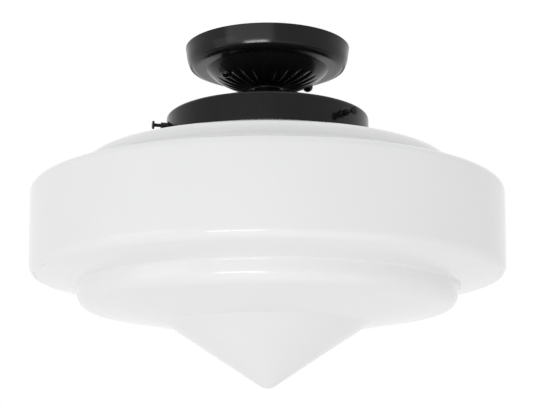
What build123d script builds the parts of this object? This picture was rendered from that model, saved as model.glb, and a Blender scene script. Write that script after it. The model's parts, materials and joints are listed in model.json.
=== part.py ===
from build123d import *
import math
import os

# A ceiling light: fluted canopy, waisted neck, glass holder and a stepped opal glass shade.
# Millimetres, +Z up, z = 0 on the ceiling, and +X through the two cap nuts.

# Clearances
SLIP_GAP = 0.3          # between pieces that pass each other
THREAD_GAP = 0.05       # radial, round a thread in its hole

# Mounting plate on the ceiling box
PLATE_MARGIN = 2.05     # past the ends of the box slots
PLATE_THICKNESS = 2.0
PLATE_HOLE_RADIUS = 15.0
BOX_SLOT_SPACING = 88.9
BOX_SLOT_WIDTH = 4.6
BOX_SLOT_LENGTH = 9.0

# Studs, their nuts and the cap nuts that hold the canopy
STUD_RADIUS = 2.08
STUD_SPACING = 76.2
STUD_REACH = 5.0        # past the cap nut's seat
LOCK_NUT_FLATS = 8.7
LOCK_NUT_HEIGHT = 3.2
NUT_SEAT_LIFT = 4.1     # from the bowl's surface up to the flat that the washer meets
CAP_NUT_RADIUS = 4.6
WASHER_INSET = 0.2      # inside the cap nut's edge
WASHER_THICKNESS = 0.5
CAP_NUT_BARREL = 2.9
CAP_NUT_FLANGE = 0.9
CAP_NUT_KNURLS = 20
KNURL_RADIUS = 0.35

# Ground screw under the plate
GROUND_SCREW_MARGIN = 7.0   # out from the edge of the plate's hole
GROUND_SCREW_RADIUS = 2.4
GROUND_HEAD_RADIUS = 4.2
GROUND_HEAD_HEIGHT = 2.6
GROUND_SLOT_WIDTH = 1.0

# Canopy
CANOPY_MARGIN = 14.6    # past the plate's edge
RIM_HEIGHT = 14.8
RIM_DRAW_IN = 1.75
RIM_CURL_HEIGHT = 3.4   # of the turned-in lower edge
RIM_CURL_INSET = 1.9
RIM_CURVE = 19.0
CREASE_WIDTH = 1.2
CREASE_DEPTH = 0.4
SHOULDER_DROP = 2.7
SHOULDER_SLOPE = 0.6    # from its rounded edge to the bowl
SHOULDER_INSET = 3.5    # of its edge, in from the rim's
SHOULDER_CURVE = 6.0
CANOPY_WALL = 1.6
BOWL_MARGIN = 10.5       # past the studs
BOWL_DEPTH = 15.7
BOWL_BULGE = 3.9
BOWL_WALL = 4.2
BOWL_FLOOR_RADIUS = 11.5
STUD_HOLE_GAP = 0.62
CUP_WALL = 1.2          # round a cap nut's recess

# Flutes in the bowl
FLUTES = 26
FLUTE_DEPTH = 1.2
FLUTE_RUN_OUT_DEPTH = 0.42
FLUTE_OVERLAP = 1.04    # of the pitch, so that neighbours meet in a ridge
FLUTE_END_INSET = 12.0   # from the bowl's edge to the centre of a flute's round end
FLUTE_RUN_OUT = 0.5     # from the bowl's floor to where a flute starts

# Threaded tube through the middle
NIPPLE_RADIUS = 5.15
NIPPLE_WALL = 1.7
NIPPLE_STANDOUT = 1.8
TUBE_NUT_FLATS = 14.3
TUBE_NUT_HEIGHT = 4.0
TUBE_WASHER_RADIUS = 8.0
TUBE_WASHER_THICKNESS = 1.0

# Neck between canopy and glass holder
NECK_TOP_INSET = 0.1    # inside the edge of the bowl's floor
NECK_WAIST_INSET = 0.6
NECK_WAIST_DEPTH = 0.8
NECK_WAIST_CURVE = 0.7
NECK_FLARE = 11.1       # from the top's edge out to the foot's edge
NECK_HEIGHT = 7.3
NECK_FOOT_HEIGHT = 0.5

# Glass holder
HOLDER_RADIUS = 80.0
HOLDER_FLAT_MARGIN = 3.0    # past the neck's foot
HOLDER_RISE = 18.0
HOLDER_SKIRT = 20.6
HOLDER_CORNER = 2.5
HOLDER_WALL = 1.2

# Thumb screws in the skirt
SCREW_ANGLES = (-76.0, 44.0, 164.0)
SCREW_PITCH = 0.5
SCREW_RADIUS = 1.5
SCREW_THREAD_DEPTH = 0.28
SCREW_RELIEF = 0.4      # at least, between the thread and the head
SCREW_ABOVE_EDGE = 10.3
SCREW_STANDOUT = 13.0
SCREW_HEAD_RADIUS = 3.25
SCREW_HEAD_HEIGHT = 1.8
SCREW_HEAD_CROWN = 0.5
BOSS_WALL = 1.0
BOSS_LENGTH = 5.8
BOSS_FLANGE = 0.9       # past the bush
BOSS_FLANGE_THICKNESS = 0.8
TIP_INSET = 0.02        # inside the thread's root
TIP_LENGTH = 2.6

# Shade, from its lip down
GLASS_WALL = 3.2
LIP_HEIGHT = 18.0       # above the skirt's edge
LIP_ROOM = 3.64         # from the lip to the skirt round it
LIP_FLARE = 0.3         # outwards for each millimetre up
THROAT_BELOW_SCREW = 1.6
THROAT_CURVE = 3.2
GLASS_BELOW_SKIRT = 2.7
GLASS_SKIRT_INSET = 2.0 # inside the skirt, where the glass comes out below it
DRUM_RADIUS = 183.8
UPPER_TIER_INSET = 35.9 # inside the drum
UPPER_TIER_DROP = 17.1
UPPER_TIER_CORNER = 10.9
UPPER_TIER_HEIGHT = 11.3
UPPER_TIER_DRAFT = 2.4
TIER_FOOT_CURVE = 3.5
DRUM_TOP_DROP = 9.1
DRUM_TOP_CORNER = 6.6
DRUM_HEIGHT = 66.6
DRUM_DRAFT = 1.1
DRUM_BOTTOM_CORNER = 7.5
LOWER_TIER_INSET = 36.9 # inside the drum
DRUM_UNDERSIDE_DROP = 7.9
LOWER_TIER_CURVE = 2.3
LOWER_TIER_HEIGHT = 15.6
LOWER_TIER_DRAFT = 1.8
LOWER_TIER_CORNER = 10.9
CONE_INSET = 69.3       # inside the lower tier
TIER_UNDERSIDE_DROP = 12.2
CONE_CURVE = 3.0
CONE_HEIGHT = 50.8
CONE_TIP_RADIUS = 10.0

# Lampholder and its bracket
BRACKET_THICKNESS = 1.6
BRACKET_WIDTH = 14.0
BRACKET_INSET = 2.2     # inside the lampholder's edge
BRACKET_DROP = 25.2
BRACKET_FOOT = 9.0
BRACKET_BEND = 2.4      # outside radius
SOCKET_WALL = 3.3
SOCKET_STEP = 2.5       # from the waist out to the head
SOCKET_LENGTH = 42.0
SOCKET_CORNER = 2.0
SOCKET_EDGE = 1.0
SOCKET_ROOF = 11.0
SOCKET_LEAD_INSET = 9.0
SOCKET_LEAD_DEPTH = 4.0
SHELL_ROOM = 0.5        # round the lamp's thread
SHELL_WALL = 0.4
SHELL_MARGIN = 2.5
CONTACT_RADIUS = 4.0
CONTACT_HEIGHT = 1.4
FIXING_INSET = 5.5      # inside the bracket
FIXING_RADIUS = 1.5
FIXING_COVER = 4.0      # left of the lampholder's roof under a fixing screw
FIXING_HEAD_RADIUS = 2.9
FIXING_HEAD_HEIGHT = 1.9

# Lamp
LAMP_THREAD_PITCH = 3.63
LAMP_THREADS = 5
LAMP_THREAD_DEPTH = 0.9
LAMP_BASE_RADIUS = 13.0
LAMP_BASE_WALL = 0.5
LAMP_COLLAR = 6.0
LAMP_INSULATOR_HEIGHT = 3.0
LAMP_CONTACT_RADIUS = 4.6
LAMP_CONTACT_HEIGHT = 1.6
LAMP_NECK_OVERLAP = 5.0
LAMP_BULB_RADIUS = 30.0
LAMP_LENGTH = 108.0
LAMP_GLASS_WALL = 0.8

# Leads and wire connectors
LEAD_RADIUS = 1.1
LEAD_SIDE_STEP = 1.7
LEAD_HOLE_GAP = 0.2
LEAD_BEND_SHARE = 0.45  # of the shorter run, taken up by a bend
LEAD_RISE = 6.4         # out of the lampholder to the first bend
LEAD_ENTRY = 4.5        # from the bend below the tube to the tube
LEAD_EXIT = 4.0         # from the tube to the bend above it
LEAD_TURN = 11.0        # out from the middle to the last bend
# Sideways, and below the ground screw's head
GROUND_LEAD_STEPS = ((0, 5.0), (2.5, 9.3), (6.8, 11.8), (15.0, 11.8))
CONNECTOR_MOUTH_RADIUS = 5.0
CONNECTOR_END_RADIUS = 3.2
CONNECTOR_LENGTH = 19.0
CONNECTOR_GRIP = 7.0
CONNECTOR_DROP = 8.0    # below the ceiling
CONNECTOR_PLACE = 20.0  # of its mouth, out from the middle

# Radii that follow from the sizes above
plate_radius = (BOX_SLOT_SPACING + BOX_SLOT_LENGTH) / 2 + PLATE_MARGIN
ground_screw_x = -(PLATE_HOLE_RADIUS + GROUND_SCREW_MARGIN)
canopy_radius = plate_radius + CANOPY_MARGIN
bowl_radius = STUD_SPACING / 2 + BOWL_MARGIN
tube_hole_radius = NIPPLE_RADIUS + THREAD_GAP
neck_top_radius = BOWL_FLOOR_RADIUS - NECK_TOP_INSET
neck_waist_radius = neck_top_radius - NECK_WAIST_INSET
neck_foot_radius = neck_top_radius + NECK_FLARE
screw_root_radius = SCREW_RADIUS - SCREW_THREAD_DEPTH
tip_radius = screw_root_radius - TIP_INSET
socket_bore_radius = LAMP_BASE_RADIUS + SHELL_ROOM + SHELL_WALL + SLIP_GAP
socket_waist_radius = socket_bore_radius + SOCKET_WALL
socket_radius = socket_waist_radius + SOCKET_STEP
socket_lead_x = socket_radius - SOCKET_LEAD_INSET
bracket_half_span = socket_radius - BRACKET_INSET
fixing_y = bracket_half_span - FIXING_INSET
lamp_root_radius = LAMP_BASE_RADIUS - LAMP_THREAD_DEPTH

# Heights that follow from the sizes above
plate_under_z = -PLATE_THICKNESS
ground_head_z = plate_under_z - GROUND_HEAD_HEIGHT
rim_z = -RIM_HEIGHT
shoulder_z = rim_z - SHOULDER_DROP
canopy_floor_z = shoulder_z - BOWL_DEPTH
canopy_inside_z = canopy_floor_z + BOWL_WALL
holder_top_z = canopy_floor_z - NECK_HEIGHT
neck_foot_z = holder_top_z + NECK_FOOT_HEIGHT
holder_inside_z = holder_top_z - HOLDER_WALL
holder_shoulder_z = holder_top_z - HOLDER_RISE
skirt_z = holder_shoulder_z - HOLDER_SKIRT
screw_z = skirt_z + SCREW_ABOVE_EDGE
bracket_under_z = holder_inside_z - BRACKET_THICKNESS
nipple_top_z = canopy_inside_z + TUBE_WASHER_THICKNESS + TUBE_NUT_HEIGHT + NIPPLE_STANDOUT
nipple_bottom_z = bracket_under_z - TUBE_WASHER_THICKNESS - TUBE_NUT_HEIGHT - NIPPLE_STANDOUT
socket_top_z = holder_inside_z - BRACKET_DROP
socket_bottom_z = socket_top_z - SOCKET_LENGTH
socket_roof_z = socket_top_z - SOCKET_ROOF
fixing_floor_z = socket_roof_z + FIXING_COVER
lead_floor_z = socket_top_z - SOCKET_LEAD_DEPTH
lamp_top_z = socket_roof_z - CONTACT_HEIGHT - SLIP_GAP
lamp_shell_top_z = lamp_top_z - LAMP_CONTACT_HEIGHT - LAMP_INSULATOR_HEIGHT
lamp_thread_end_z = lamp_shell_top_z - LAMP_THREADS * LAMP_THREAD_PITCH
lamp_shell_bottom_z = lamp_thread_end_z - LAMP_COLLAR
lip_z = skirt_z + LIP_HEIGHT
throat_z = screw_z - THROAT_BELOW_SCREW
lip_radius = HOLDER_RADIUS - HOLDER_WALL - LIP_ROOM
throat_radius = lip_radius - LIP_FLARE * (lip_z - throat_z)

# The bowl's outer curve, in the half plane of radius and height
bowl_edge = Vector(bowl_radius, shoulder_z)
bowl_foot = Vector(BOWL_FLOOR_RADIUS, canopy_floor_z)
bowl_curve = SagittaArc(bowl_edge, bowl_foot, BOWL_BULGE)
bowl_centre = bowl_curve.edge().arc_center
bowl_sweep_radius = bowl_curve.edge().radius


def bowl_point(radius):
    """The point of the bowl's outer curve at this radius."""
    across = radius - bowl_centre.X
    return Vector(radius, bowl_centre.Y - math.sqrt(bowl_sweep_radius ** 2 - across ** 2))


nut_seat_z = bowl_point(STUD_SPACING / 2).Y + NUT_SEAT_LIFT
cap_nut_top_z = nut_seat_z - WASHER_THICKNESS
stud_bottom_z = nut_seat_z - STUD_REACH


# Helpers
def turned(*edges):
    """A solid turned about Z from edges in the half plane of radius and height."""
    return revolve(Plane.XZ * make_face(list(edges)), Axis.Z)


def outline(points, radii=None):
    """The edges of a closed run of points, with a corner radius at each where given."""
    corner_radii = radii or [0] * len(points)
    return FilletPolyline(*points, radius=corner_radii, close=True).edges()


def tube(outer_radius, inner_radius, top_z, bottom_z):
    """A plain ring on the middle axis."""
    upper = [(inner_radius, top_z), (outer_radius, top_z)]
    lower = [(outer_radius, bottom_z), (inner_radius, bottom_z)]
    return turned(*outline(upper + lower))


def rod(radius, top_z, bottom_z, x=0, y=0):
    """An upright round bar."""
    middle_z = (top_z + bottom_z) / 2
    return Pos(x, y, middle_z) * Cylinder(radius, top_z - bottom_z)


def hex_nut(flats, height, bore_radius, top_z):
    """A six-sided nut on the middle axis, under the given height."""
    profile = RegularPolygon(flats / 2, 6, major_radius=False) - Circle(bore_radius)
    return Pos(0, 0, top_z) * extrude(profile, -height)


def inset(points, wall):
    """A run of points moved to its right by the wall, with its corners mitred."""
    headings = [(end - start).normalized() for start, end in zip(points, points[1:])]
    sides = [Vector(heading.Y, -heading.X) for heading in headings]
    moved = [points[0] + sides[0] * wall]
    for point, before, after in zip(points[1:], sides, sides[1:]):
        moved.append(point + (before + after) * (wall / (1 + before.dot(after))))
    moved.append(points[-1] + sides[-1] * wall)
    return moved


def lead(points):
    """A round wire along points, with each bend as large as its two runs allow."""
    route = [Vector(*point) for point in points]
    runs = [end - start for start, end in zip(route, route[1:])]
    radii = []
    for before, after in zip(runs, runs[1:]):
        half_turn = math.radians(before.get_angle(after)) / 2
        radii.append(LEAD_BEND_SHARE * min(before.length, after.length) / math.tan(half_turn))
    path = FilletPolyline(*route, radius=radii)
    section = Plane(origin=path @ 0, z_dir=path % 0) * Circle(LEAD_RADIUS)
    return sweep(section, path=path)


# Ceiling plate and its fixings
def mounting_plate():
    plate = tube(plate_radius, PLATE_HOLE_RADIUS, 0, plate_under_z)
    slot = Rot(0, 0, 90) * SlotOverall(BOX_SLOT_LENGTH, BOX_SLOT_WIDTH)
    holes = []
    for side in (-1, 1):
        holes.append(Pos(0, side * BOX_SLOT_SPACING / 2, 0) * extrude(slot, -PLATE_THICKNESS))
        holes.append(rod(STUD_RADIUS + THREAD_GAP, 0, plate_under_z, side * STUD_SPACING / 2))
    holes.append(rod(GROUND_SCREW_RADIUS + THREAD_GAP, 0, plate_under_z, ground_screw_x))
    return plate - holes


def mounting_studs():
    return Compound([rod(STUD_RADIUS, 0, stud_bottom_z, side * STUD_SPACING / 2) for side in (-1, 1)])


def stud_lock_nuts():
    nut = hex_nut(LOCK_NUT_FLATS, LOCK_NUT_HEIGHT, STUD_RADIUS + THREAD_GAP, plate_under_z)
    return Compound([Pos(side * STUD_SPACING / 2, 0, 0) * nut for side in (-1, 1)])


def ground_screw():
    shank = rod(GROUND_SCREW_RADIUS, 0, plate_under_z)
    head = rod(GROUND_HEAD_RADIUS, plate_under_z, ground_head_z)
    groove_depth = GROUND_HEAD_HEIGHT / 2
    groove = Box(GROUND_SLOT_WIDTH, 2 * GROUND_HEAD_RADIUS, groove_depth)
    return Pos(ground_screw_x, 0, 0) * (shank + head - Pos(0, 0, ground_head_z + groove_depth / 2) * groove)


def cap_nut_washer():
    return tube(CAP_NUT_RADIUS - WASHER_INSET, STUD_RADIUS + SLIP_GAP, nut_seat_z, cap_nut_top_z)


def cap_nut():
    """A round domed nut with a knurled barrel and a small flange."""
    flange_z = cap_nut_top_z - CAP_NUT_FLANGE
    barrel_z = cap_nut_top_z - CAP_NUT_BARREL
    barrel_radius = CAP_NUT_RADIUS - KNURL_RADIUS
    dome_half = barrel_radius * math.sqrt(0.5)
    lowest = (0, barrel_z - barrel_radius)
    dome = ThreePointArc((barrel_radius, barrel_z), (dome_half, barrel_z - dome_half), lowest)
    sides = Polyline(
        lowest, (0, cap_nut_top_z), (CAP_NUT_RADIUS, cap_nut_top_z),
        (CAP_NUT_RADIUS, flange_z), (barrel_radius, flange_z), (barrel_radius, barrel_z),
    )
    nut = turned(*sides.edges(), *dome.edges())
    knurl = rod(KNURL_RADIUS, flange_z, barrel_z, barrel_radius)
    knurls = [Rot(0, 0, turn * 360 / CAP_NUT_KNURLS) * knurl for turn in range(CAP_NUT_KNURLS)]
    bore = rod(STUD_RADIUS + THREAD_GAP, cap_nut_top_z, stud_bottom_z - SLIP_GAP)
    return nut - knurls - bore


# Canopy
def flute_station(radius, depth):
    """Centre and radius of the circle that cuts a flute of this depth, here on the bowl."""
    half_width = FLUTE_OVERLAP * math.pi * radius / FLUTES
    cut_radius = (half_width ** 2 + depth ** 2) / (2 * depth)
    surface = bowl_point(radius)
    outwards = (surface - bowl_centre).normalized()
    return surface + outwards * (cut_radius - depth), cut_radius


def flute_cutter():
    """A round-ended cutter, turned about a line that runs along under the bowl."""
    start_radius = BOWL_FLOOR_RADIUS + FLUTE_RUN_OUT
    end_radius = bowl_radius - FLUTE_END_INSET
    start, start_cut = flute_station(start_radius, FLUTE_RUN_OUT_DEPTH)
    end, end_cut = flute_station(end_radius, FLUTE_DEPTH)
    along = (end - start).normalized()
    upwards = Vector(-along.Y, along.X)
    middle_radius = (start_radius + end_radius) / 2
    middle = bowl_point(middle_radius) - start
    middle_half_width = FLUTE_OVERLAP * math.pi * middle_radius / FLUTES
    middle_cut = math.hypot(middle_half_width, middle.dot(upwards))
    heel = start - along * FLUTE_RUN_OUT
    low = start + upwards * start_cut
    waist = start + along * middle.dot(along) + upwards * middle_cut
    high = end + upwards * end_cut
    nose_side = end + (along + upwards).normalized() * end_cut
    nose = end + along * end_cut
    profile = make_face([
        *Line(heel, low).edges(), *ThreePointArc(low, waist, high).edges(),
        *ThreePointArc(high, nose_side, nose).edges(), *Line(nose, heel).edges(),
    ])
    return Rot(90, 0, 0) * revolve(profile, Axis(heel, along))


def canopy():
    turn = Vector(canopy_radius - RIM_DRAW_IN, rim_z + RIM_CURL_HEIGHT)
    edge = Vector(turn.X - RIM_CURL_INSET, rim_z)
    crease = edge + Vector(-CREASE_WIDTH, CREASE_DEPTH)
    shoulder = Vector(edge.X - SHOULDER_INSET, shoulder_z + SHOULDER_SLOPE)
    inwards = Vector(-CANOPY_WALL, 0)
    upwards = Vector(0, CANOPY_WALL)
    inside_edge = bowl_edge + inwards + upwards
    inside_foot = Vector(BOWL_FLOOR_RADIUS, canopy_inside_z)
    outside = FilletPolyline(
        (0, 0), (canopy_radius, 0), turn, edge, crease, shoulder, bowl_edge,
        radius=[0, RIM_CURVE, 0, 0, SHOULDER_CURVE],
    )
    floor = Polyline(bowl_foot, (0, canopy_floor_z), (0, 0))
    form = turned(*outside.edges(), *bowl_curve.edges(), *floor.edges())
    inside = Polyline(
        (0, 0), (canopy_radius - CANOPY_WALL, 0), turn + inwards, edge + inwards + upwards,
        shoulder + inwards + upwards, inside_edge,
    )
    inside_curve = SagittaArc(inside_edge, inside_foot, BOWL_BULGE)
    inside_floor = Polyline(inside_foot, (0, canopy_inside_z), (0, 0))
    room = turned(*inside.edges(), *inside_curve.edges(), *inside_floor.edges())
    # A ridge between two flutes runs through each cap nut
    cutter = flute_cutter()
    flutes = [Rot(0, 0, (turn + 0.5) * 360 / FLUTES) * cutter for turn in range(FLUTES)]
    holes = [rod(tube_hole_radius, 0, canopy_floor_z)]
    recess_radius = CAP_NUT_RADIUS + SLIP_GAP
    for side in (-1, 1):
        place = side * STUD_SPACING / 2
        room -= rod(recess_radius + CUP_WALL, nut_seat_z + CUP_WALL, canopy_floor_z, place)
        holes.append(rod(recess_radius, nut_seat_z, canopy_floor_z, place))
        holes.append(rod(STUD_RADIUS + STUD_HOLE_GAP, 0, canopy_floor_z, place))
    return form - room - flutes - holes


# Tube, neck and glass holder
def nipple():
    return tube(NIPPLE_RADIUS, NIPPLE_RADIUS - NIPPLE_WALL, nipple_top_z, nipple_bottom_z)


def tube_washer(top_z):
    return tube(TUBE_WASHER_RADIUS, NIPPLE_RADIUS + SLIP_GAP, top_z, top_z - TUBE_WASHER_THICKNESS)


def tube_nut(top_z):
    return hex_nut(TUBE_NUT_FLATS, TUBE_NUT_HEIGHT, tube_hole_radius, top_z)


def neck():
    """A short collar with a waist, flared to a thin foot."""
    waist = (neck_waist_radius, canopy_floor_z - NECK_WAIST_DEPTH)
    points = [
        (tube_hole_radius, canopy_floor_z), (neck_top_radius, canopy_floor_z), waist,
        (neck_foot_radius, neck_foot_z), (neck_foot_radius, holder_top_z), (tube_hole_radius, holder_top_z),
    ]
    return turned(*outline(points, [0, 0, NECK_WAIST_CURVE, 0, 0, 0]))


def holder():
    """A spun dome with a plain skirt, bored for the tube and the three screws."""
    flat_radius = neck_foot_radius + HOLDER_FLAT_MARGIN
    outer = [
        Vector(tube_hole_radius, holder_top_z), Vector(flat_radius, holder_top_z),
        Vector(HOLDER_RADIUS, holder_shoulder_z), Vector(HOLDER_RADIUS, skirt_z),
    ]
    inner = inset(outer, HOLDER_WALL)
    inner_corner = max(HOLDER_CORNER - HOLDER_WALL, 0)
    bend = 2 * HOLDER_CORNER
    dish = turned(*outline(
        outer + inner[::-1], [0, bend + HOLDER_WALL, HOLDER_CORNER, 0, 0, inner_corner, bend, 0]
    ))
    hole_start = HOLDER_RADIUS - 2 * HOLDER_WALL
    hole = radial_rod(SCREW_RADIUS + THREAD_GAP, hole_start, HOLDER_RADIUS + HOLDER_WALL)
    return dish - [Rot(0, 0, angle) * hole for angle in SCREW_ANGLES]


# Thumb screws, along +X at the screws' height and then turned to their angles
def radial_rod(radius, start, end):
    return Pos((start + end) / 2, 0, screw_z) * Rot(0, 90, 0) * Cylinder(radius, end - start)


def radial_turned(*edges):
    """A solid turned about the screw's line, from edges in distance out and radius."""
    return Pos(0, 0, screw_z) * revolve(Plane.XZ * make_face(list(edges)), Axis.X)


glass_at_screw = throat_radius + LIP_FLARE * THROAT_BELOW_SCREW
tip_start = glass_at_screw + SLIP_GAP
screw_start = tip_start + TIP_LENGTH
screw_end = HOLDER_RADIUS + SCREW_STANDOUT
head_start = screw_end - SCREW_HEAD_HEIGHT


def screw_bosses():
    """Threaded bushes set on the skirt, cut to its curve."""
    wall = HOLDER_RADIUS
    boss_radius = SCREW_RADIUS + BOSS_WALL
    bush = radial_rod(boss_radius, wall - HOLDER_WALL, wall + BOSS_LENGTH)
    flange = radial_rod(boss_radius + BOSS_FLANGE, wall - HOLDER_WALL, wall + BOSS_FLANGE_THICKNESS)
    skirt = rod(HOLDER_RADIUS, holder_shoulder_z, skirt_z)
    bore = radial_rod(SCREW_RADIUS + THREAD_GAP, wall - 2 * HOLDER_WALL, wall + 2 * BOSS_LENGTH)
    boss = bush + flange - skirt - bore
    return Compound([Rot(0, 0, angle) * boss for angle in SCREW_ANGLES])


def thumb_screw():
    """A threaded shank with a low crowned head."""
    points = [(screw_end, 0), (screw_start, 0), (screw_start, screw_root_radius)]
    for turn in range(int((head_start - SCREW_RELIEF - screw_start) / SCREW_PITCH)):
        thread_start = screw_start + turn * SCREW_PITCH
        points.append((thread_start + SCREW_PITCH / 2, SCREW_RADIUS))
        points.append((thread_start + SCREW_PITCH, screw_root_radius))
    rim_end = (screw_end - SCREW_HEAD_CROWN, SCREW_HEAD_RADIUS)
    points += [(head_start, screw_root_radius), (head_start, SCREW_HEAD_RADIUS), rim_end]
    crown_radius = (SCREW_HEAD_RADIUS ** 2 + SCREW_HEAD_CROWN ** 2) / (2 * SCREW_HEAD_CROWN)
    crown = RadiusArc(rim_end, (screw_end, 0), crown_radius)
    return radial_turned(*Polyline(*points).edges(), *crown.edges())


def screw_tip():
    """A soft round-nosed pad on the screw's end."""
    nose_centre = tip_start + tip_radius
    half = tip_radius * math.sqrt(0.5)
    nose = ThreePointArc((tip_start, 0), (nose_centre - half, half), (nose_centre, tip_radius))
    rest = Polyline((nose_centre, tip_radius), (screw_start, tip_radius), (screw_start, 0), (tip_start, 0))
    return radial_turned(*nose.edges(), *rest.edges())


# Shade
def shade():
    """One blown piece: flared lip, two tiers round a drum and a round-tipped cone."""
    collar_radius = HOLDER_RADIUS - GLASS_SKIRT_INSET
    upper_radius = DRUM_RADIUS - UPPER_TIER_INSET
    lower_radius = DRUM_RADIUS - LOWER_TIER_INSET
    cone_radius = lower_radius - CONE_INSET
    collar_z = skirt_z - GLASS_BELOW_SKIRT
    upper_z = collar_z - UPPER_TIER_DROP
    upper_foot_z = upper_z - UPPER_TIER_HEIGHT
    drum_top_z = upper_foot_z - DRUM_TOP_DROP
    drum_bottom_z = drum_top_z - DRUM_HEIGHT
    lower_z = drum_bottom_z - DRUM_UNDERSIDE_DROP
    lower_foot_z = lower_z - LOWER_TIER_HEIGHT
    cone_z = lower_foot_z - TIER_UNDERSIDE_DROP
    apex_z = cone_z - CONE_HEIGHT
    tier_slope = UPPER_TIER_DROP / (upper_radius - collar_radius)
    shoulder_start_z = collar_z + tier_slope * (collar_radius - throat_radius)
    cone_angle = math.atan2(cone_radius, CONE_HEIGHT)
    tip_centre_z = apex_z + CONE_TIP_RADIUS / math.sin(cone_angle)
    # The wall runs down the outside; each point has its corner radius and the way the corner turns
    corners = [
        (lip_radius, lip_z, 0, 0),
        (throat_radius, throat_z, THROAT_CURVE, -1),
        (throat_radius + LIP_FLARE, shoulder_start_z, THROAT_CURVE, -1),
        (upper_radius, upper_z, UPPER_TIER_CORNER, 1),
        (upper_radius - UPPER_TIER_DRAFT, upper_foot_z, TIER_FOOT_CURVE, -1),
        (DRUM_RADIUS, drum_top_z, DRUM_TOP_CORNER, 1),
        (DRUM_RADIUS - DRUM_DRAFT, drum_bottom_z, DRUM_BOTTOM_CORNER, 1),
        (lower_radius, lower_z, LOWER_TIER_CURVE, -1),
        (lower_radius - LOWER_TIER_DRAFT, lower_foot_z, LOWER_TIER_CORNER, 1),
        (cone_radius, cone_z, CONE_CURVE, -1),
    ]

    def tip_point(radius, angle):
        return Vector(radius * math.cos(angle), tip_centre_z - radius * math.sin(angle))

    outer = [Vector(r, z) for r, z, _, _ in corners] + [tip_point(CONE_TIP_RADIUS, cone_angle)]
    edges = []
    lips = []
    lows = []
    for wall in (0, GLASS_WALL):
        round_radius = CONE_TIP_RADIUS - wall
        points = inset(outer, wall)
        radii = [max(curve - turn * wall, 0) for _, _, curve, turn in corners[1:]]
        low = tip_point(round_radius, math.pi / 2)
        middle = tip_point(round_radius, (math.pi / 2 + cone_angle) / 2)
        edges += FilletPolyline(*points, radius=radii).edges()
        edges += ThreePointArc(points[-1], middle, low).edges()
        lips.append(points[0])
        lows.append(low)
    return turned(*edges, *Line(*lips).edges(), *Line(*lows).edges())


# Lampholder
def socket_bracket():
    """A strap bent down on both sides, with its feet turned in over the lampholder."""
    foot_y = bracket_half_span - BRACKET_FOOT
    centreline = inset([
        Vector(-foot_y, socket_top_z), Vector(-bracket_half_span, socket_top_z),
        Vector(-bracket_half_span, holder_inside_z), Vector(bracket_half_span, holder_inside_z),
        Vector(bracket_half_span, socket_top_z), Vector(foot_y, socket_top_z),
    ], BRACKET_THICKNESS / 2)
    bends = [BRACKET_BEND - BRACKET_THICKNESS / 2] * 4
    line = FilletPolyline(*centreline, radius=bends)
    profile = trace(line, BRACKET_THICKNESS)
    strap = Plane.YZ * extrude(profile, BRACKET_WIDTH / 2, both=True)
    holes = [rod(tube_hole_radius, holder_inside_z, bracket_under_z)]
    for side in (-1, 1):
        hole_radius = FIXING_RADIUS + SLIP_GAP
        holes.append(rod(hole_radius, socket_top_z + BRACKET_THICKNESS, socket_top_z, 0, side * fixing_y))
    return strap - holes


def socket_screws():
    head_under_z = socket_top_z + BRACKET_THICKNESS
    head_top_z = head_under_z + FIXING_HEAD_HEIGHT
    screws = []
    for side in (-1, 1):
        y = side * fixing_y
        shank = rod(FIXING_RADIUS, head_under_z, fixing_floor_z, 0, y)
        screws.append(shank + rod(FIXING_HEAD_RADIUS, head_top_z, head_under_z, 0, y))
    return Compound(screws)


def socket_body():
    """A glazed porcelain cup, open below, with holes for its leads and fixing screws."""
    cup = turned(*outline(
        [
            (0, socket_top_z), (socket_radius, socket_top_z), (socket_radius, socket_roof_z),
            (socket_waist_radius, socket_roof_z - SOCKET_CORNER), (socket_waist_radius, socket_bottom_z),
            (socket_bore_radius, socket_bottom_z), (socket_bore_radius, socket_roof_z), (0, socket_roof_z),
        ],
        [0, SOCKET_CORNER] + [SOCKET_EDGE] * 4 + [0, 0],
    ))
    holes = []
    for side in (-1, 1):
        lead_hole_radius = LEAD_RADIUS + LEAD_HOLE_GAP
        holes.append(rod(lead_hole_radius, socket_top_z, lead_floor_z, side * socket_lead_x))
        holes.append(rod(FIXING_RADIUS + THREAD_GAP, socket_top_z, fixing_floor_z, 0, side * fixing_y))
    return cup - holes


def socket_shell():
    outer_radius = socket_bore_radius - SLIP_GAP
    top_z = lamp_shell_top_z + SHELL_MARGIN
    return tube(outer_radius, outer_radius - SHELL_WALL, top_z, socket_bottom_z + SHELL_MARGIN)


def socket_contact():
    """A sprung brass button on the roof of the lampholder."""
    flat_z = socket_roof_z - CONTACT_HEIGHT / 2
    button = rod(CONTACT_RADIUS / 2, flat_z, socket_roof_z - CONTACT_HEIGHT)
    return rod(CONTACT_RADIUS, socket_roof_z, flat_z) + button


# Lamp
def lamp_contact():
    return rod(LAMP_CONTACT_RADIUS, lamp_top_z, lamp_top_z - LAMP_CONTACT_HEIGHT)


def lamp_insulator():
    top_z = lamp_top_z - LAMP_CONTACT_HEIGHT
    upper = [(0, top_z), (LAMP_CONTACT_RADIUS, top_z)]
    lower = [(lamp_root_radius, lamp_shell_top_z), (0, lamp_shell_top_z)]
    return turned(*outline(upper + lower))


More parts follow.
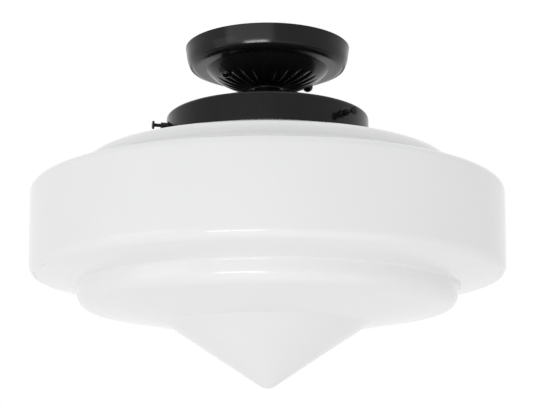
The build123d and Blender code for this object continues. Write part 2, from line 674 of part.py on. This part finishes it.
def lamp_base():
    """A thin screw cap, its rolled thread as smooth waves."""
    waves = []
    for turn in range(LAMP_THREADS):
        start_z = lamp_shell_top_z - turn * LAMP_THREAD_PITCH
        end_z = start_z - LAMP_THREAD_PITCH
        crest = (LAMP_BASE_RADIUS, (start_z + end_z) / 2)
        waves += ThreePointArc((lamp_root_radius, start_z), crest, (lamp_root_radius, end_z)).edges()
    inside_z = lamp_shell_top_z - LAMP_BASE_WALL
    inner_radius = lamp_root_radius - LAMP_BASE_WALL
    rest = Polyline(
        (lamp_root_radius, lamp_thread_end_z), (lamp_root_radius, lamp_shell_bottom_z),
        (inner_radius, lamp_shell_bottom_z), (inner_radius, inside_z), (0, inside_z),
        (0, lamp_shell_top_z), (lamp_root_radius, lamp_shell_top_z),
    )
    return turned(*waves, *rest.edges())


def lamp_envelope():
    """A hollow pear-shaped bulb, its neck set in the cap."""
    neck_radius = lamp_root_radius - LAMP_BASE_WALL - SLIP_GAP
    neck_top_z = lamp_shell_bottom_z + LAMP_NECK_OVERLAP
    neck_end_z = lamp_shell_bottom_z - LAMP_NECK_OVERLAP
    bulb_z = lamp_top_z - LAMP_LENGTH + LAMP_BULB_RADIUS
    runs = []
    for wall in (0, LAMP_GLASS_WALL):
        bulb_radius = LAMP_BULB_RADIUS - wall
        top = (neck_radius - wall, neck_top_z)
        neck_end = (neck_radius - wall, neck_end_z)
        equator = (bulb_radius, bulb_z)
        half = bulb_radius * math.sqrt(0.5)
        lowest = (0, bulb_z - bulb_radius)
        flank = Spline(neck_end, equator, tangents=((0, -1), (0, -1)))
        bottom = ThreePointArc(equator, (half, bulb_z - half), lowest)
        runs.append([*Line(top, neck_end).edges(), *flank.edges(), *bottom.edges()])
    rim = Line((neck_radius, neck_top_z), (neck_radius - LAMP_GLASS_WALL, neck_top_z))
    low_z = bulb_z - LAMP_BULB_RADIUS
    foot = Line((0, low_z), (0, low_z + LAMP_GLASS_WALL))
    return turned(*runs[0], *runs[1], *rim.edges(), *foot.edges())


# Wiring in the tube and the canopy
lead_end_y = CONNECTOR_PLACE + CONNECTOR_GRIP
live_route = [
    (socket_lead_x, 0, lead_floor_z),
    (socket_lead_x, 0, socket_top_z + LEAD_RISE),
    (LEAD_SIDE_STEP, 0, nipple_bottom_z - LEAD_ENTRY),
    (LEAD_SIDE_STEP, 0, nipple_top_z + LEAD_EXIT),
    (LEAD_SIDE_STEP, LEAD_TURN, -CONNECTOR_DROP),
    (LEAD_SIDE_STEP, lead_end_y, -CONNECTOR_DROP),
]
neutral_route = [(-x, -y, z) for x, y, z in live_route]
ground_route = [(ground_screw_x, 0, ground_head_z)]
ground_route += [(ground_screw_x, -side, ground_head_z - down) for side, down in GROUND_LEAD_STEPS]


def wire_connector(route):
    """A closed tapered cap that grips the last stretch of a lead."""
    end = Vector(*route[-1])
    heading = (end - Vector(*route[-2])).normalized()
    mouth = end - heading * CONNECTOR_GRIP
    cap = Solid.make_cone(CONNECTOR_MOUTH_RADIUS, CONNECTOR_END_RADIUS, CONNECTOR_LENGTH)
    bore = Solid.make_cylinder(LEAD_RADIUS + LEAD_HOLE_GAP, CONNECTOR_GRIP + LEAD_HOLE_GAP)
    return Plane(origin=mouth, z_dir=heading) * (cap - bore)


def wire_connectors():
    return Compound([wire_connector(route) for route in (live_route, neutral_route, ground_route)])


pieces = {
    "mounting_plate": mounting_plate(),
    "mounting_studs": mounting_studs(),
    "stud_lock_nuts": stud_lock_nuts(),
    "ground_screw": ground_screw(),
    "canopy": canopy(),
    "nipple": nipple(),
    "nipple_top_nut": tube_nut(canopy_inside_z + TUBE_WASHER_THICKNESS + TUBE_NUT_HEIGHT),
    "nipple_top_washer": tube_washer(canopy_inside_z + TUBE_WASHER_THICKNESS),
    "nipple_bottom_washer": tube_washer(bracket_under_z),
    "nipple_bottom_nut": tube_nut(bracket_under_z - TUBE_WASHER_THICKNESS),
    "neck_collar": neck(),
    "glass_holder": holder(),
    "screw_bosses": screw_bosses(),
    "shade": shade(),
    "socket_bracket": socket_bracket(),
    "socket_screws": socket_screws(),
    "socket_body": socket_body(),
    "socket_shell": socket_shell(),
    "socket_contact": socket_contact(),
    "lamp_contact": lamp_contact(),
    "lamp_insulator": lamp_insulator(),
    "lamp_base": lamp_base(),
    "lamp_envelope": lamp_envelope(),
    "live_lead": lead(live_route),
    "neutral_lead": lead(neutral_route),
    "ground_lead": lead(ground_route),
    "wire_connectors": wire_connectors(),
}
for number, side in enumerate((1, -1), start=1):
    place = Pos(side * STUD_SPACING / 2, 0, 0)
    pieces[f"cap_nut_washer_{number}"] = place * cap_nut_washer()
    pieces[f"cap_nut_{number}"] = place * cap_nut()
for number, angle in enumerate(SCREW_ANGLES, start=1):
    pieces[f"thumb_screw_{number}"] = Rot(0, 0, angle) * thumb_screw()
    pieces[f"screw_tip_{number}"] = Rot(0, 0, angle) * screw_tip()

os.makedirs("parts", exist_ok=True)
for name, piece in pieces.items():
    export_step(piece, f"parts/{name}.step")
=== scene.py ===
import json
import math

import bpy
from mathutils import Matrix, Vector


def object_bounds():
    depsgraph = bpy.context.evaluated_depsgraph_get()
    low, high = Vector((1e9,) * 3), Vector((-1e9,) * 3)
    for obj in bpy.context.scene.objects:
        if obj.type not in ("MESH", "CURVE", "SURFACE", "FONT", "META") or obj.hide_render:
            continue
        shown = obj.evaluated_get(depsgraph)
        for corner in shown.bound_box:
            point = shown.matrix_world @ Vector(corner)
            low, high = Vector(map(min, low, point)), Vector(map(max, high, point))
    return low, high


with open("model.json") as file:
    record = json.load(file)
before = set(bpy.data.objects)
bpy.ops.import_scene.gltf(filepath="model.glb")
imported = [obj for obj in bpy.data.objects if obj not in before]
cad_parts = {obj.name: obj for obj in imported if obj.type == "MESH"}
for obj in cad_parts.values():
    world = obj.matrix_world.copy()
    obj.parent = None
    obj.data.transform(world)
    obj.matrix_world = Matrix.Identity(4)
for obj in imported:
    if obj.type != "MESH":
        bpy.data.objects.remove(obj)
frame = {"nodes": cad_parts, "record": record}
cad_low, cad_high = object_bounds()
nodes = frame["nodes"]

# Camera, as fitted to the photograph, in degrees and metres
CAMERA_AZIMUTH = -31.0
CAMERA_ELEVATION = -10.8
CAMERA_DISTANCE = 1.0548
CAMERA_LENS = 91.2          # in millimetres
VIEW_CENTRE = Vector((0.0, 0.0, -0.1494))
AIM_RISE = 0.0233           # the view's middle lies this far above the view centre
AIM_LEFT = 0.0008

# Studio
FLOOR_DROP = 2.0            # below the lowest point of the object
FLOOR_SIZE = 16.0
AMBIENT = 0.69
SHEEN_WIDTHS = (0.8, 1.5, 2.2)  # lamps over each other, so that the sheen fades at its sides

# Patterns
PATTERN_LOW = 0.3           # a pattern is drawn out between these two values
PATTERN_HIGH = 0.7
WAVE_LENGTH = 0.314         # between the lines of a wave texture of scale 1
WAVE_WOBBLE = 1.5
BEVEL_SAMPLES = 8


def direction(azimuth, elevation):
    """The unit vector from the object towards a place seen at these angles, in degrees."""
    turn = math.radians(azimuth)
    rise = math.radians(elevation)
    return Vector((math.sin(turn) * math.cos(rise), -math.cos(turn) * math.cos(rise), math.sin(rise)))


# Node helpers
class Finish:
    """A material under construction: one main shader and the textures that drive it."""

    def __init__(self, name, **values):
        self.material = bpy.data.materials.new(name)
        self.material.use_nodes = True
        self.tree = self.material.node_tree
        self.tree.nodes.clear()
        self.shader = self.add("ShaderNodeBsdfPrincipled")
        output = self.add("ShaderNodeOutputMaterial")
        self.join(self.shader.outputs["BSDF"], output.inputs["Surface"])
        self.place = self.add("ShaderNodeTexCoord").outputs["Object"]
        self.edges = None
        for socket, value in values.items():
            self.shader.inputs[socket.replace("_", " ")].default_value = value

    def add(self, kind, **settings):
        node = self.tree.nodes.new(kind)
        for key, value in settings.items():
            setattr(node, key, value)
        return node

    def join(self, source, target):
        self.tree.links.new(source, target)

    def noise(self, size, detail=3.0, stretch=(1.0, 1.0, 1.0)):
        """A soft random pattern whose spots are about this large, in metres."""
        mapping = self.add("ShaderNodeMapping")
        mapping.inputs["Scale"].default_value = stretch
        self.join(self.place, mapping.inputs["Vector"])
        texture = self.add("ShaderNodeTexNoise")
        texture.inputs["Scale"].default_value = 1.0 / size
        texture.inputs["Detail"].default_value = detail
        self.join(mapping.outputs["Vector"], texture.inputs["Vector"])
        return texture.outputs["Fac"]

    def cells(self, size):
        """Flat random cells, as on galvanised steel."""
        texture = self.add("ShaderNodeTexVoronoi")
        texture.inputs["Scale"].default_value = 1.0 / size
        self.join(self.place, texture.inputs["Vector"])
        grey = self.add("ShaderNodeSeparateColor")
        self.join(texture.outputs["Color"], grey.inputs["Color"])
        return grey.outputs["Red"]

    def rings(self, size):
        """Fine turned lines, one above the other."""
        texture = self.add("ShaderNodeTexWave", bands_direction="Z")
        texture.inputs["Scale"].default_value = WAVE_LENGTH / size
        texture.inputs["Distortion"].default_value = WAVE_WOBBLE
        self.join(self.place, texture.inputs["Vector"])
        return texture.outputs["Fac"]

    def spread(self, pattern, low, high):
        """The pattern's values, drawn out between two numbers."""
        ramp = self.add("ShaderNodeMapRange")
        ramp.inputs["From Min"].default_value = PATTERN_LOW
        ramp.inputs["From Max"].default_value = PATTERN_HIGH
        ramp.inputs["To Min"].default_value = low
        ramp.inputs["To Max"].default_value = high
        self.join(pattern, ramp.inputs["Value"])
        return ramp.outputs["Result"]

    def colour(self, pattern, first, second):
        """A base colour that wanders between two colours."""
        mix = self.add("ShaderNodeMix", data_type="RGBA")
        mix.inputs["A"].default_value = (*first, 1.0)
        mix.inputs["B"].default_value = (*second, 1.0)
        self.join(self.spread(pattern, 0.0, 1.0), mix.inputs["Factor"])
        colours = [socket for socket in mix.outputs if socket.type == "RGBA"]
        self.join(colours[0], self.shader.inputs["Base Color"])

    def roughness(self, pattern, low, high):
        """A roughness that wanders between two numbers."""
        self.join(self.spread(pattern, low, high), self.shader.inputs["Roughness"])

    def soften(self, radius):
        """Sharp edges that take the light as if rounded off."""
        bevel = self.add("ShaderNodeBevel", samples=BEVEL_SAMPLES)
        bevel.inputs["Radius"].default_value = radius
        self.edges = bevel.outputs["Normal"]

    def relief(self, *layers):
        """Bumps from pairs of a pattern and a height in metres, one over the other."""
        normal = self.edges
        for pattern, height in layers:
            bump = self.add("ShaderNodeBump")
            bump.inputs["Strength"].default_value = 1.0
            bump.inputs["Distance"].default_value = height
            self.join(pattern, bump.inputs["Height"])
            if normal:
                self.join(normal, bump.inputs["Normal"])
            normal = bump.outputs["Normal"]
        self.join(normal, self.shader.inputs["Normal"])


# Finishes, one for each material slot of the record
def black_metal():
    """Satin black powder coat: a faint orange peel and slightly uneven gloss."""
    coat = Finish("black_metal", Specular_IOR_Level=0.20)
    coat.soften(0.0006)
    coat.colour(coat.noise(0.020), (0.0058, 0.0056, 0.0061), (0.0076, 0.0074, 0.0079))
    coat.roughness(coat.noise(0.006, 4.0), 0.15, 0.20)
    coat.relief((coat.noise(0.0009, 2.0), 0.000012))
    return coat.material


def opal_glass():
    """Blown opal glass: milky white with soft clouds under a smooth, barely rippled skin."""
    glass = Finish("opal_glass", IOR=1.5)
    glass.colour(glass.noise(0.090, 2.0), (0.893, 0.896, 0.899), (0.912, 0.914, 0.917))
    glass.roughness(glass.noise(0.030), 0.13, 0.18)
    glass.relief((glass.noise(0.060, 1.0), 0.00006))
    return glass.material


def zinc_steel():
    """Bright zinc plating with dull cells and fine scratches."""
    plate = Finish("zinc_steel", Metallic=1.0)
    plate.colour(plate.cells(0.006), (0.55, 0.56, 0.57), (0.60, 0.61, 0.61))
    plate.roughness(plate.noise(0.003, 4.0, (1.0, 6.0, 1.0)), 0.28, 0.45)
    plate.relief((plate.noise(0.0012, 3.0), 0.000015))
    return plate.material


def green_screw():
    """Green passivated steel."""
    steel = Finish("green_screw", Metallic=0.7)
    steel.colour(steel.noise(0.003), (0.045, 0.27, 0.075), (0.08, 0.36, 0.12))
    steel.roughness(steel.noise(0.001), 0.30, 0.45)
    steel.relief((steel.noise(0.0006), 0.00001))
    return steel.material


def fibre_washer():
    """Pressed dark fibre with its short flecks."""
    fibre = Finish("fibre_washer")
    fibre.colour(fibre.noise(0.0012, 5.0, (1.0, 3.0, 4.0)), (0.028, 0.023, 0.021), (0.052, 0.043, 0.039))
    fibre.roughness(fibre.noise(0.002), 0.65, 0.85)
    fibre.relief((fibre.noise(0.0008, 4.0), 0.00004))
    return fibre.material


def porcelain():
    """White glazed porcelain with a few faint specks."""
    glaze = Finish("porcelain", Coat_Weight=0.4, Coat_Roughness=0.04)
    glaze.colour(glaze.noise(0.012, 5.0), (0.80, 0.785, 0.745), (0.87, 0.86, 0.83))
    glaze.roughness(glaze.noise(0.010), 0.12, 0.22)
    glaze.relief((glaze.noise(0.006, 2.0), 0.00004))
    return glaze.material


def brass():
    """Pressed brass, a little tarnished."""
    metal = Finish("brass", Metallic=1.0)
    metal.colour(metal.noise(0.005, 5.0), (0.58, 0.40, 0.15), (0.78, 0.58, 0.26))
    metal.roughness(metal.noise(0.002, 4.0), 0.20, 0.38)
    metal.relief((metal.noise(0.0010), 0.00001))
    return metal.material


def lamp_metal():
    """A rolled lamp cap with fine turned lines."""
    cap = Finish("lamp_metal", Metallic=1.0)
    cap.colour(cap.noise(0.008), (0.62, 0.62, 0.61), (0.74, 0.74, 0.73))
    cap.roughness(cap.rings(0.0006), 0.22, 0.36)
    cap.relief((cap.rings(0.0006), 0.000008))
    return cap.material


def lamp_black():
    """Black glass insulator, poured and glossy."""
    vitrite = Finish("lamp_black")
    vitrite.colour(vitrite.noise(0.003), (0.008, 0.008, 0.010), (0.018, 0.016, 0.018))
    vitrite.roughness(vitrite.noise(0.002), 0.08, 0.20)
    vitrite.relief((vitrite.noise(0.003, 2.0), 0.00006))
    return vitrite.material


def lamp_glass():
    """Frosted lamp glass with a fine even grain."""
    frost = Finish("lamp_glass", IOR=1.45)
    frost.colour(frost.noise(0.030, 2.0), (0.86, 0.86, 0.84), (0.91, 0.91, 0.89))
    frost.roughness(frost.noise(0.0008, 2.0), 0.30, 0.42)
    frost.relief((frost.noise(0.0005, 2.0), 0.000008))
    return frost.material


def insulation(name, dark, light):
    """Extruded wire insulation, faintly marked along its length."""
    sleeve = Finish(name)
    sleeve.colour(sleeve.noise(0.006, 4.0), dark, light)
    sleeve.roughness(sleeve.noise(0.002), 0.38, 0.52)
    sleeve.relief((sleeve.noise(0.0008, 3.0), 0.00002))
    return sleeve.material


def connector_plastic():
    """Moulded orange plastic."""
    shell = Finish("connector_plastic")
    shell.colour(shell.noise(0.008), (0.55, 0.125, 0.012), (0.65, 0.165, 0.02))
    shell.roughness(shell.noise(0.0015), 0.28, 0.40)
    shell.relief((shell.noise(0.0007), 0.000012))
    return shell.material


def soft_tip():
    """Matt black vinyl."""
    vinyl = Finish("soft_tip")
    vinyl.colour(vinyl.noise(0.002), (0.022, 0.022, 0.022), (0.040, 0.040, 0.040))
    vinyl.roughness(vinyl.noise(0.001), 0.6, 0.8)
    vinyl.relief((vinyl.noise(0.0004), 0.00001))
    return vinyl.material


finishes = {
    "black_metal": black_metal(),
    "opal_glass": opal_glass(),
    "zinc_steel": zinc_steel(),
    "green_screw": green_screw(),
    "fibre_washer": fibre_washer(),
    "porcelain": porcelain(),
    "brass": brass(),
    "lamp_metal": lamp_metal(),
    "lamp_black": lamp_black(),
    "lamp_glass": lamp_glass(),
    "black_lead": insulation("black_lead", (0.012, 0.012, 0.012), (0.022, 0.022, 0.022)),
    "white_lead": insulation("white_lead", (0.74, 0.74, 0.71), (0.80, 0.80, 0.78)),
    "green_lead": insulation("green_lead", (0.02, 0.21, 0.045), (0.035, 0.27, 0.065)),
    "connector_plastic": connector_plastic(),
    "soft_tip": soft_tip(),
}

# Every CAD node takes its finish, and the black ones are gathered for the sheen
black_pieces = bpy.data.collections.new("black_pieces")
for subpart in frame["record"]["subparts"]:
    piece = nodes[subpart["node"]]
    piece.data.materials.clear()
    piece.data.materials.append(finishes[subpart["material_slot"]])
    if subpart["material_slot"] == "black_metal":
        black_pieces.objects.link(piece)


# Camera
def make_camera():
    data = bpy.data.cameras.new("camera")
    data.lens = CAMERA_LENS
    camera = bpy.data.objects.new("camera", data)
    bpy.context.scene.collection.objects.link(camera)
    outwards = direction(CAMERA_AZIMUTH, CAMERA_ELEVATION)
    left = Vector((outwards.y, -outwards.x, 0.0)).normalized()
    camera.location = VIEW_CENTRE + outwards * CAMERA_DISTANCE
    aim = VIEW_CENTRE + Vector((0.0, 0.0, AIM_RISE)) + left * AIM_LEFT
    camera.rotation_euler = (aim - camera.location).to_track_quat("-Z", "Y").to_euler()
    bpy.context.scene.camera = camera


# Light and floor
def soft_box(name, azimuth, elevation, distance, width, height, radiance, sheen_on=None):
    """A rectangular soft light that faces the object, or that only shows in the gloss of some pieces."""
    data = bpy.data.lights.new(name, "AREA")
    data.shape = "RECTANGLE"
    data.size = width
    data.size_y = height
    data.energy = radiance * math.pi * width * height
    light = bpy.data.objects.new(name, data)
    bpy.context.scene.collection.objects.link(light)
    outwards = direction(azimuth, elevation)
    light.location = VIEW_CENTRE + outwards * distance
    light.rotation_euler = (-outwards).to_track_quat("-Z", "Y").to_euler()
    light.visible_camera = False
    if sheen_on:
        light.visible_diffuse = False
        light.light_linking.receiver_collection = sheen_on


def seen_rays(tree, first, *others):
    """One for rays of these kinds, and nought for the rest."""
    path = tree.nodes.new("ShaderNodeLightPath")
    total = path.outputs[first]
    for ray in others:
        highest = tree.nodes.new("ShaderNodeMath")
        highest.operation = "MAXIMUM"
        tree.links.new(total, highest.inputs[0])
        tree.links.new(path.outputs[ray], highest.inputs[1])
        total = highest.outputs[0]
    return total


def make_world():
    """Soft grey light all round, seen as plain white."""
    world = bpy.data.worlds.new("studio")
    world.use_nodes = True
    bpy.context.scene.world = world
    tree = world.node_tree
    tree.nodes.clear()
    light = tree.nodes.new("ShaderNodeBackground")
    light.inputs["Color"].default_value = (AMBIENT, AMBIENT, AMBIENT, 1.0)
    white = tree.nodes.new("ShaderNodeBackground")
    white.inputs["Color"].default_value = (1.0, 1.0, 1.0, 1.0)
    mix = tree.nodes.new("ShaderNodeMixShader")
    output = tree.nodes.new("ShaderNodeOutputWorld")
    shown = seen_rays(tree, "Is Camera Ray", "Is Glossy Ray", "Is Transmission Ray")
    tree.links.new(shown, mix.inputs["Fac"])
    tree.links.new(light.outputs["Background"], mix.inputs[1])
    tree.links.new(white.outputs["Background"], mix.inputs[2])
    tree.links.new(mix.outputs["Shader"], output.inputs["Surface"])


def make_floor():
    """A plain pale floor, open to a view from below."""
    half = FLOOR_SIZE / 2
    height = cad_low.z - FLOOR_DROP
    mesh = bpy.data.meshes.new("floor")
    sides = ((-half, -half), (half, -half), (half, half), (-half, half))
    corners = [(x, y, height) for x, y in sides]
    mesh.from_pydata(corners, [], [(0, 1, 2, 3)])
    floor = bpy.data.objects.new("floor", mesh)
    bpy.context.scene.collection.objects.link(floor)
    paint = Finish("floor_paint")
    paint.colour(paint.noise(0.4), (0.80, 0.80, 0.79), (0.83, 0.83, 0.82))
    paint.roughness(paint.noise(0.1), 0.75, 0.9)
    white = paint.add("ShaderNodeEmission")
    clear = paint.add("ShaderNodeBsdfTransparent")
    side = paint.add("ShaderNodeNewGeometry")
    shown = paint.add("ShaderNodeMixShader")
    mix = paint.add("ShaderNodeMixShader")
    output = next(node for node in paint.tree.nodes if node.type == "OUTPUT_MATERIAL")
    paint.join(seen_rays(paint.tree, "Is Glossy Ray", "Is Transmission Ray"), shown.inputs["Fac"])
    paint.join(paint.shader.outputs["BSDF"], shown.inputs[1])
    paint.join(white.outputs["Emission"], shown.inputs[2])
    paint.join(side.outputs["Backfacing"], mix.inputs["Fac"])
    paint.join(shown.outputs["Shader"], mix.inputs[1])
    paint.join(clear.outputs["BSDF"], mix.inputs[2])
    paint.join(mix.outputs["Shader"], output.inputs["Surface"])
    mesh.materials.append(paint.material)


make_camera()
make_world()
make_floor()
soft_box("key", CAMERA_AZIMUTH - 15.0, -28.0, distance=1.6, width=0.70, height=0.24, radiance=6.5)
soft_box(
    "key_sheen", CAMERA_AZIMUTH - 17.0, -28.0,
    distance=1.6, width=0.90, height=0.24, radiance=18.0, sheen_on=black_pieces,
)
soft_box("left", CAMERA_AZIMUTH - 62.0, -8.0, distance=1.7, width=1.1, height=0.9, radiance=0.75)
for width in SHEEN_WIDTHS:
    soft_box(
        f"sheen_{width}", CAMERA_AZIMUTH - 25.0, -5.0,
        distance=1.7, width=width, height=1.2, radiance=1.5, sheen_on=black_pieces,
    )
soft_box("low", CAMERA_AZIMUTH + 25.0, -55.0, distance=1.6, width=1.8, height=1.8, radiance=0.44)
soft_box("top", CAMERA_AZIMUTH, 80.0, distance=1.8, width=1.6, height=1.6, radiance=0.4)
bpy.context.scene.view_settings.view_transform = "Standard"
